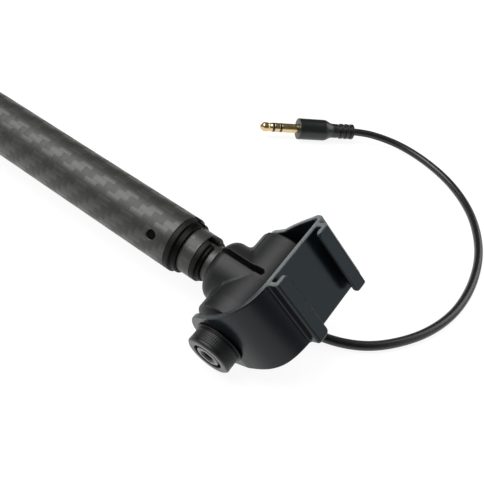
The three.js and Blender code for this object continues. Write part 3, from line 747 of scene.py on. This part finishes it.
# %% Head moulding
COLLAR_RADIUS, COLLAR_MOUTH, COLLAR_ROUND = 8.8, 13.7, 3.2
BARREL_RIGHT, BARREL_LEFT, RIGHT_END, LEFT_END = 9.1, 9.7, 13.9, 13.5
TUBE_BORE, BORE_FLOOR, LEAD_BORE, BOLT_BORE = 5.35, -4.7, 3.4, 2.25
SLIT_WIDTH, SLIT_END, SLIT_ANGLE, SLIT_FLOOR = 1.65, 0.3, np.radians(10.5), 4.4
FILLET, SEAM_ANGLE, SEAM_HEIGHT, SEAM_WIDTH = 1.6, np.radians(137), 0.16, 0.3
BARREL_ROUND, SOCKET_RADIUS, SOCKET_FLOOR = 0.6, 2.2, 6.5


def head_shape(p):
    """Collar and barrel with a fillet, less the bores, the slit and the grommet's socket."""
    x, y, z = p.T
    around_bolt, around_pole = np.hypot(x, z), np.hypot(y, z)
    taper = np.clip(-y / COLLAR_RADIUS, 0, 1)
    radius = BARREL_RIGHT + (BARREL_LEFT - BARREL_RIGHT) * taper
    turn_angle = np.arctan2(z, x) - SEAM_ANGLE
    seam = SEAM_HEIGHT * np.exp(-(turn_angle * radius / SEAM_WIDTH) ** 2)
    length = np.maximum(y - RIGHT_END, -LEFT_END - y)
    barrel = rounded_edge(around_bolt - radius - seam, length, BARREL_ROUND)
    collar = rounded_edge(around_pole - COLLAR_RADIUS, -COLLAR_MOUTH - x, COLLAR_ROUND)
    collar = np.maximum(collar, x)
    facing = z * z / np.maximum(around_bolt * around_pole, 1e-6)
    solid = smooth_low(barrel, collar, FILLET * np.clip(1 - facing, 0, 1) + 0.02)
    bore = rounded_edge(around_pole - TUBE_BORE, x - BORE_FLOOR, 0.1)
    solid = smooth_high(solid, -bore, 0.25)
    lead_bore = np.maximum(around_pole - LEAD_BORE, x + BOLT_BORE)
    solid = np.maximum(solid, -lead_bore)
    solid = smooth_high(solid, -(around_bolt - BOLT_BORE), 0.3)
    across = y * np.cos(SLIT_ANGLE) - z * np.sin(SLIT_ANGLE)
    outward = y * np.sin(SLIT_ANGLE) + z * np.cos(SLIT_ANGLE)
    past = np.maximum(x - (SLIT_END - SLIT_WIDTH / 2), 0)
    slit = np.maximum(np.hypot(past, across) - SLIT_WIDTH / 2, SLIT_FLOOR - outward)
    solid = smooth_high(solid, -slit, 0.16)
    out = p @ grommet_way
    aside = np.linalg.norm(p - out[:, None] * grommet_way - GROMMET_PLACE * grommet_side, axis=1)
    socket = np.maximum(aside - SOCKET_RADIUS, SOCKET_FLOOR - out)
    return smooth_high(solid, -socket, 0.2)


head_mesh, _ = pulled("head_moulding", "head_body", HEAD, head_shape, 0.26)
piece(head_mesh, "head", "head_body", nylon, weighted=False)

# %% [markdown]
# ## Yoke
# The yoke is one strip of steel, bent into a fork, with the accessory shoe's rails folded up on
# its front. Seen along the slot it is a thick line; seen along the bolt it is an outline with
# round arms. The strip is where both agree. Each rail is a corner with a hollow cut in it.

# %% Yoke
STRIP, SHOE_HALF, FLOOR, LIP_TOP, RAIL_WALL = 1.5, 10.1, 16.6, 19.9, 1.2
SHOE_LEFT, SHOE_MIDDLE, LIP_HALF = -4.5, 6.1, 6.4
LEFT_ARM, RIGHT_ARM, LEFT_ROUND, RIGHT_ROUND, SHOULDER = -16.05, 15.35, 9.2, 8.0, 14.0
ARM_FLAT, SPLAY = 3.6, 3.85
middle = FLOOR - STRIP / 2


def bezier(*controls, steps):
    """Bernstein sum of three or four control points."""
    t = np.linspace(0, 1, steps)[:, None]
    weights = {3: [(1 - t) ** 2, 2 * t * (1 - t), t ** 2],
               4: [(1 - t) ** 3, 3 * t * (1 - t) ** 2, 3 * t ** 2 * (1 - t), t ** 3]}
    return sum(w * np.array(c, float) for w, c in zip(weights[len(controls)], controls))


strip_line = np.vstack([
    [[-20, LEFT_ARM]],
    bezier([ARM_FLAT, LEFT_ARM], [0.7 * middle, LEFT_ARM + 1.2], [0.95 * middle, LEFT_ARM + 2.7],
           [middle, SHOE_LEFT + 0.4], steps=60),
    bezier([middle, RIGHT_ARM + SPLAY - 2], [middle, RIGHT_ARM + SPLAY],
           [middle - 2, RIGHT_ARM + 0.94 * SPLAY], steps=24),
    bezier([0.75 * middle, RIGHT_ARM + 0.8 * SPLAY], [0.4 * middle, RIGHT_ARM + 0.5 * SPLAY],
           [ARM_FLAT, RIGHT_ARM], steps=30),
    [[-20, RIGHT_ARM]],
])


def from_line(points, line):
    """Distance of every 2-D point from a line: the lowest over the line's straight pieces."""
    nearest = np.full(len(points), np.inf)
    for a, step in zip(line[:-1], np.diff(line, axis=0)):
        offset = points - a
        share = np.clip(offset @ step / (step @ step), 0, 1)[:, None]
        nearest = np.minimum(nearest, ((offset - share * step) ** 2).sum(1))
    return np.sqrt(nearest)


def yoke_parts(p):
    """The strip seen along the slot, and its outline seen along the bolt."""
    x, y, z = p.T
    strip = from_line(p[:, :2], strip_line) - STRIP / 2
    end = np.where(y < 0, LEFT_ROUND, RIGHT_ROUND)
    widening = (SHOE_HALF - end) / SHOULDER
    half = end + widening * np.clip(x, 0, SHOULDER)
    outline = np.where(x < 0, np.hypot(x, z) - end, (np.abs(z) - half) / np.hypot(1, widening))
    return strip, outline


def rail_shape(x, y, z):
    """The left rail: an upright and a lip round a hollow, with round corners on the lip."""
    outer = rounded_edge(x - LIP_TOP, SHOE_LEFT - y, 0.8)
    hollow = rounded_edge(x - (LIP_TOP - RAIL_WALL), SHOE_LEFT + RAIL_WALL - y, 0.2)
    plan = rounded_edge(y - (SHOE_MIDDLE - LIP_HALF), np.abs(z) - SHOE_HALF, 1.3)
    rail = smooth_high(np.maximum(outer, middle - x), -hollow, 0.25)
    return smooth_high(rail, plan, 0.4)


def yoke_shape(p):
    """Strip and both rails, less the bolt's hole."""
    x, y, z = p.T
    strip, outline = yoke_parts(p)
    solid = smooth_high(strip, outline, 0.5)
    rails = np.minimum(rail_shape(x, y, z), rail_shape(x, 2 * SHOE_MIDDLE - y, z))
    solid = smooth_low(solid, rails, 0.5)
    return smooth_high(solid, -(np.hypot(x, z) - BOLT_BORE), 0.2)


def wear_and_highlight_marks(p):
    """1 on the strip's sawn sides, where the coat is thin and where a painted highlight runs
    along the edges: full along the shoe, fading down the left arm, and nearly full on the ends of
    the rails. 0.5 over the whole right fold, which is a painted highlight."""
    x, y, z = p.T
    strip, outline = yoke_parts(p)
    cut = np.clip(1 + 4 * outline, 0, 1) * np.clip(1 - 5 * (strip + 0.12), 0, 1)
    cut *= 1 - 0.75 * np.clip((SHOE_LEFT + 1 - y) / 4, 0, 1)
    fold = (y > RIGHT_ARM + SPLAY - 2) & (x > FLOOR - 3)
    cut = np.maximum(cut, 0.5 * fold * (strip > -0.1))
    rail_end = np.clip(4 * (np.abs(z) - SHOE_HALF + 0.4), 0, 1)
    return np.maximum(cut, 0.9 * rail_end * (x > FLOOR - 0.1))


yoke_mesh, yoke_points = pulled("bent_yoke", "yoke", YOKE, yoke_shape, 0.27)
# The stored marks paint a paler tone: wear and a painted highlight on the edges, and a painted
# highlight on the right fold.
store(yoke_mesh, "edge_wear_and_highlight", wear_and_highlight_marks(yoke_points))
piece(yoke_mesh, "yoke", "yoke", coated_steel, weighted=False)

# %% [markdown]
# ## Pivot hardware
# A socket screw joins the fork to the head. A round knob stands on its head end and clamps the
# tilt; a hexagon nut closes the other end. The knob's grip has a fine diamond knurl, made as a
# product of two slanted waves in the radius. The nut's corners are cut by a cone: its radius is
# the lower of the hexagon's and the cone's at every angle.

# %% Knob, bolt, nut and washers
LEFT_INNER, RIGHT_INNER = -15.3, 14.6
KNOB_BASE, KNOB_LENGTH, KNOB_RADIUS, POCKET = -16.9, 4.9, 6.4, 4.2
KNOB_FLANGE_RADIUS, KNOB_FLANGE = 6.9, 0.4
POCKET_FLOOR, GROOVE, KNURLS, KNURL_SLANT, KNURL_DEPTH = 1.5, 0.2, 34, 5.3, 0.16
HEAD_GAP, HEAD_RADIUS, HEAD_HEIGHT, BOLT_RADIUS, HEX, HEX_DEPTH = 1.6, 3.3, 3.25, 2.0, 3.0, 2.0
NUT_FROM, NUT_HEIGHT, NUT_FLATS, RIM_RADIUS = 16.2, 3.2, 7.0, 2.65
SINK, SINK_RADIUS, WASHER_RADIUS = 0.4, 2.15, 4.0

knob_face = KNOB_BASE - KNOB_LENGTH
knob_outline = rounded([
    [KNOB_BASE, BOLT_BORE], [KNOB_BASE - POCKET_FLOOR, BOLT_BORE],
    [KNOB_BASE - POCKET_FLOOR, POCKET],
    [knob_face, POCKET], [knob_face, KNOB_RADIUS - 0.55], [knob_face + 0.45, KNOB_RADIUS],
    [knob_face + 0.9, KNOB_RADIUS], [KNOB_BASE - 0.9, KNOB_RADIUS],
    [KNOB_BASE - 0.7, KNOB_RADIUS - GROOVE], [KNOB_BASE - KNOB_FLANGE, KNOB_RADIUS - GROOVE],
    [KNOB_BASE - KNOB_FLANGE, KNOB_FLANGE_RADIUS], [KNOB_BASE, KNOB_FLANGE_RADIUS],
], [0.1, 0.1, 0.1, 0.25, 0.15, 0.2, 0, 0, 0.05, 0.05, 0.12, 0.12])
grip_from, grip_to = knob_face + 1.1, KNOB_BASE - 1.0
rows = np.linspace(grip_from, grip_to, 22)
cutting = np.flatnonzero((knob_outline[:-1, 0] <= grip_from) & (knob_outline[1:, 0] >= grip_to))
knob_outline = np.insert(knob_outline, cutting[0] + 1,
                         np.column_stack([rows, np.full(len(rows), KNOB_RADIUS)]), axis=0)
knob_mesh = turned_mesh("knurled_knob", knob_outline, BOLT_AXES, segments=240)
local = places_of(knob_mesh, BOLT_AXES)
angle, radius = np.arctan2(local[:, 2], local[:, 1]), np.hypot(local[:, 1], local[:, 2])
inside = np.clip((local[:, 0] - grip_from) * 3, 0, 1) * np.clip((grip_to - local[:, 0]) * 3, 0, 1)
slant = KNURL_SLANT * local[:, 0]
waves = np.cos(KNURLS * angle + slant) * np.cos(KNURLS * angle - slant)
deeper = 1 - KNURL_DEPTH * inside * (0.5 - 0.5 * waves) * (radius > KNOB_RADIUS - 0.01) / radius
local[:, 1:] *= deeper[:, None]
knob_mesh.vertices.foreach_set("co", place(local, BOLT_AXES).ravel())
# The front face is marked for a paler tone, which is painted light on that face.
mark(knob_mesh, "face_painted_lit", BOLT_AXES,
     lambda x, r: (x < knob_face + 0.3) * (r > POCKET - 0.05))
piece(knob_mesh, "knob", "clamp_knob", knob_black, sharp=50)

head_base = KNOB_BASE - HEAD_GAP
head_top = head_base - HEAD_HEIGHT
bolt_end = NUT_FROM + NUT_HEIGHT + 1
bolt_mesh = turned_mesh("socket_screw", rounded([
    [head_top + SINK, 0], [head_top + SINK, SINK_RADIUS - SINK], [head_top, SINK_RADIUS],
    [head_top, RIM_RADIUS - 0.2], [head_top, RIM_RADIUS],
    [head_top, HEAD_RADIUS], [head_base, HEAD_RADIUS], [head_base, BOLT_RADIUS],
    [bolt_end, BOLT_RADIUS], [bolt_end, 0],
], [0, 0, 0, 0, 0, 0.3, 0.1, 0.1, 0.3, 0]), BOLT_AXES)


def six_sided(name, flats, low, high, axes, chamfer=0.0, bore=0.0):
    """Radius at angle a is flats/2 / cos(a to the nearest flat's middle), kept below a cone that
    falls 0.6 per mm of radius towards both ends."""
    a = np.linspace(0, 2 * np.pi, 180, endpoint=False)
    to_flat = (a + np.pi / 6) % (np.pi / 3) - np.pi / 6
    hexagon = flats / 2 / np.cos(to_flat)
    x = np.concatenate([[low], np.linspace(low, low + 0.8, 6), np.linspace(high - 0.8, high, 6),
                        [high]])[:, None]
    from_end = np.minimum(x - low, high - x)
    cone = flats / 2 + chamfer + from_end / 0.6 if chamfer else 1e3
    r = np.minimum(hexagon, cone) + 0 * x
    r[0], r[-1] = bore, bore
    points = np.stack([x + 0 * a, r * np.cos(a), r * np.sin(a)], -1)
    return clean(grid_mesh(name, place(points, axes), bore > 0, True))


socket = six_sided("socket", HEX, head_top - 1, head_top + HEX_DEPTH, BOLT_AXES)
bolt_mesh = carve(bolt_mesh, socket)
# The rim of the screw head is marked for a paler tone, a painted highlight.
mark(bolt_mesh, "face_painted_lit", BOLT_AXES,
     lambda x, r: (x < head_top + 0.45) * (r > RIM_RADIUS - 0.05))
piece(bolt_mesh, "knob", "pivot_bolt", black_oxide)
piece(six_sided("hexagon_nut", NUT_FLATS, NUT_FROM, NUT_FROM + NUT_HEIGHT, BOLT_AXES, 0.1,
                BOLT_RADIUS + 0.1), "yoke", "pivot_nut", zinc, sharp=30)

for name, node, low, high in (
        ("left_spacer", "left_washer", LEFT_INNER + 0.1, LEFT_INNER + 1.7),
        ("right_spacer", "right_washer", RIGHT_INNER - 0.6, RIGHT_INNER - 0.1)):
    ring = [[low, BOLT_BORE], [low, WASHER_RADIUS], [high, WASHER_RADIUS], [high, BOLT_BORE]]
    piece(turned_mesh(name, rounded(ring, 0.12), BOLT_AXES), "head", node, rubber)
print("bolt from", round(head_top, 1), "to", round(bolt_end, 1), "mm along the pivot")

# %% [markdown]
# ## Grommet
# The lead leaves the head through a small rubber grommet: a tapered nose, so it bends gently.

# %% Grommet
ROOT, STEM_RADIUS, NOSE_RADIUS = 6.6, 2.1, 1.7
RIM_LOW, RIM_HIGH, GROMMET_RIM = 9.4, 10.2, 2.7
GROMMET_AXES = np.array([grommet_way, grommet_side, np.cross(grommet_way, grommet_side)]) @ HEAD
grommet_outline = [[ROOT, 0], [ROOT, STEM_RADIUS], [RIM_LOW, STEM_RADIUS],
                   [RIM_LOW, GROMMET_RIM], [RIM_HIGH, GROMMET_RIM], [RIM_HIGH, STEM_RADIUS],
                   [GROMMET_TIP, NOSE_RADIUS], [GROMMET_TIP, 0]]
piece(turned_mesh("lead_grommet", rounded(grommet_outline, 0.2), GROMMET_AXES,
                  place([0, GROMMET_PLACE, 0], HEAD), segments=64),
      "head", "cable_grommet", rubber)
print("grommet stands out", round(GROMMET_TIP - BARREL_RIGHT, 2), "mm")

# %% [markdown]
# ## Handle end
# A closed-cell foam sleeve is the handle. The tail is closed by a rubber cap with a 3.5 mm
# socket in a shallow recess, held by a small hexagon nut. Inside the pole a coiled lead joins
# that socket to the head, so that it can stretch as the sections slide out.

# %% Foam grip, end cap and socket
GRIP_LENGTH, GRIP_STOPS = 180.0, 60
GRIP_RADIUS = PIVOT[2] / MM
CAP_LENGTH, CAP_INSERT, RECESS_DEPTH, RECESS_RADIUS, RECESS_FLOOR = 6.3, 12.0, 2.6, 5.4, 1.6
CAP_PLUG, CAP_BORE, THREAD_HOLE = OUTER - WALL - CLEAR, 4.5, 3.1
THREAD_LENGTH, THREAD_BORE, THREAD_ROOT, THREAD_CREST = 2.2, 1.8, 2.9, 3.0
THREAD_PITCH, THREAD_DEPTH = 0.5, 0.12
HOUSING_LENGTH, HOUSING_RADIUS, HOUSING_BACK = 14.0, 4.2, 12.5
JACK_NUT_FLATS, JACK_NUT_HEIGHT = 8.0, 1.6
tail = ends("outer_tube")[0]
grip_bore = OUTER + 0.2
grip_stops = np.linspace(tail + 4, tail + GRIP_LENGTH - 4, GRIP_STOPS)
grip_outline = np.vstack([
    [[tail, grip_bore], [tail, GRIP_RADIUS]],
    np.column_stack([grip_stops, np.full(GRIP_STOPS, GRIP_RADIUS)]),
    [[tail + GRIP_LENGTH, GRIP_RADIUS], [tail + GRIP_LENGTH, grip_bore]],
])
grip_reach = np.zeros(len(grip_outline))
grip_reach[[1, -2]] = 0.9, 2.4
piece(turned_mesh("foam_grip", rounded(grip_outline, grip_reach), HEAD), "outer_section",
      "grip_sleeve", foam)

face = tail - CAP_LENGTH
recess = face + RECESS_DEPTH
thread_from, thread_to = recess - THREAD_LENGTH, recess + RECESS_FLOOR
cap_back, cap_end, cap_radius = tail - 0.3, tail + CAP_INSERT, GRIP_RADIUS - 0.5
cap_outline = [[face, RECESS_RADIUS], [face, GRIP_RADIUS - 1.5], [face + 1, cap_radius],
               [cap_back, cap_radius], [cap_back, CAP_PLUG], [cap_end, CAP_PLUG],
               [cap_end, CAP_BORE], [thread_to, CAP_BORE], [thread_to, THREAD_HOLE],
               [recess, THREAD_HOLE], [recess, RECESS_RADIUS]]
cap_reach = [0.3, 0.6, 0.6, 0.4, 0.1, 0.3, 0.2, 0.2, 0.1, 0.1, 0.3]
piece(turned_mesh("end_cap", rounded(cap_outline, cap_reach), HEAD), "outer_section",
      "butt_cap", rubber)

teeth = np.arange(thread_from + 0.3, thread_to - 0.3, THREAD_PITCH / 2)
crest = THREAD_CREST - THREAD_DEPTH * (np.arange(len(teeth)) % 2)
thread_outline = np.vstack([
    [[thread_from, THREAD_BORE], [thread_from, THREAD_ROOT - 0.05]],
    np.column_stack([teeth, crest]),
    [[thread_to, THREAD_ROOT], [thread_to, THREAD_BORE]],
])
piece(turned_mesh("socket_thread", rounded(thread_outline, 0.04, steps=3), HEAD, segments=64),
      "outer_section", "jack_thread", zinc)
back = thread_to + CLEAR
housing_end, housing_floor = back + HOUSING_LENGTH, back + HOUSING_BACK
socket_outline = [[back, THREAD_BORE], [back, HOUSING_RADIUS], [housing_end, HOUSING_RADIUS],
                  [housing_end, 0], [housing_floor, 0], [housing_floor, THREAD_BORE]]
piece(turned_mesh("socket_housing", rounded(socket_outline, 0.25), HEAD, segments=64),
      "outer_section", "jack_body", acetal)
nut_high = recess - CLEAR
piece(six_sided("socket_nut", JACK_NUT_FLATS, nut_high - JACK_NUT_HEIGHT, nut_high, HEAD, 0.05,
                THREAD_HOLE), "outer_section", "jack_nut", zinc, sharp=30)
print("grip radius", round(GRIP_RADIUS, 2), "mm, end cap face at", round(face, 1), "mm")

# %% [markdown]
# The coiled lead is a thin wire wound into a spring. Its centre runs on a helix, and a small
# circle is carried along it, standing on the helix's own normal and binormal.

# %% Coiled lead
COIL_RADIUS, WIRE_RADIUS, COIL_PITCH = 2.8, 0.85, 2.0
STEPS_PER_TURN, WIRE_SIDES = 14, 8
coil_low, coil_high = ends("coiled_lead")
turns = (coil_high - coil_low - 2 * WIRE_RADIUS) / COIL_PITCH
angle = np.linspace(0, 2 * np.pi * turns, int(turns * STEPS_PER_TURN))[:, None]
centre_radius = COIL_RADIUS - WIRE_RADIUS
rise = COIL_PITCH / (2 * np.pi)
round_wire = np.linspace(0, 2 * np.pi, WIRE_SIDES, endpoint=False)
size = np.hypot(centre_radius, rise)
inward = np.stack([0 * angle, -np.cos(angle), -np.sin(angle)], -1)
binormal = np.stack([centre_radius + 0 * angle, rise * np.sin(angle), -rise * np.cos(angle)],
                    -1) / size
centre = np.stack([coil_low + WIRE_RADIUS + rise * angle, centre_radius * np.cos(angle),
                   centre_radius * np.sin(angle)], -1)
wire = centre + WIRE_RADIUS * (np.cos(round_wire)[:, None] * inward
                               + np.sin(round_wire)[:, None] * binormal)
coil_mesh = clean(grid_mesh("coiled_wire", place(wire, HEAD), False, True))
piece(coil_mesh, "outer_section", "coiled_lead", pvc, weighted=False)
print("coil of", int(turns), "turns")

# %% [markdown]
# ## Floor and light
# The floor glows a little, as a lit table does, and the surroundings are nearly dark, so a side
# that faces away from the floor stays deep. One large light overhead, towards the handle, draws
# the long highlights on the tubes. One behind the head lights the edges, and a weak cool one
# past the tip lifts the shoe.

# %% Floor and lights
REACH, FLOOR_DROP = 6, 0.0002
floor_mesh = bpy.data.meshes.new("floor")
floor_mesh.from_pydata([(-REACH, -REACH, 0), (REACH, -REACH, 0), (REACH, REACH, 0),
                        (-REACH, REACH, 0)], [], [(0, 1, 2, 3)])
floor = in_scene("floor", floor_mesh)
floor.location.z = -FLOOR_DROP
pale, _, _ = finish("pale paper, lit from below", "#6c6c6b", 0.9,
                    Emission_Color=linear("#ffffff"), Emission_Strength=0.9)
floor_mesh.materials.append(pale)

world = bpy.data.worlds.new("studio")
bpy.context.scene.world = world
world.use_nodes = True
sky = world.node_tree.nodes["Background"]
sky.inputs["Color"].default_value = linear("#ffffff")
sky.inputs["Strength"].default_value = 0.08
bpy.context.scene.view_settings.view_transform = "Standard"


def soft_light(name, offset_mm, size_mm, watts, colour="#ffffff"):
    """A square area light that looks at the pivot from an offset in the row's axes."""
    light = bpy.data.lights.new(name, "AREA")
    light.energy, light.size, light.color = watts, size_mm * MM, linear(colour)[:3]
    offset = np.array(offset_mm, float)
    back = offset / np.linalg.norm(offset)
    right = np.cross([0.0, 0.0, 1.0], back)
    stand(in_scene(name, light), right / np.linalg.norm(right), back, PIVOT + offset * MM)


soft_light("overhead", (-250, -120, 480), 500, 4.2)
soft_light("behind", (200, 450, 300), 400, 1.2)
soft_light("right", (530, 180, 200), 300, 0.4, "#d6e6f2")
print("lights:", [light.name for light in bpy.data.lights])

# %% [markdown]
# ## Pieces and faces
# The number of finished pieces and their faces is printed. The visual model has to stay
# inside the plain model's box.

# %% Pieces and faces
print("pieces:", len(made) + 1, "faces:", sum(made.values()))
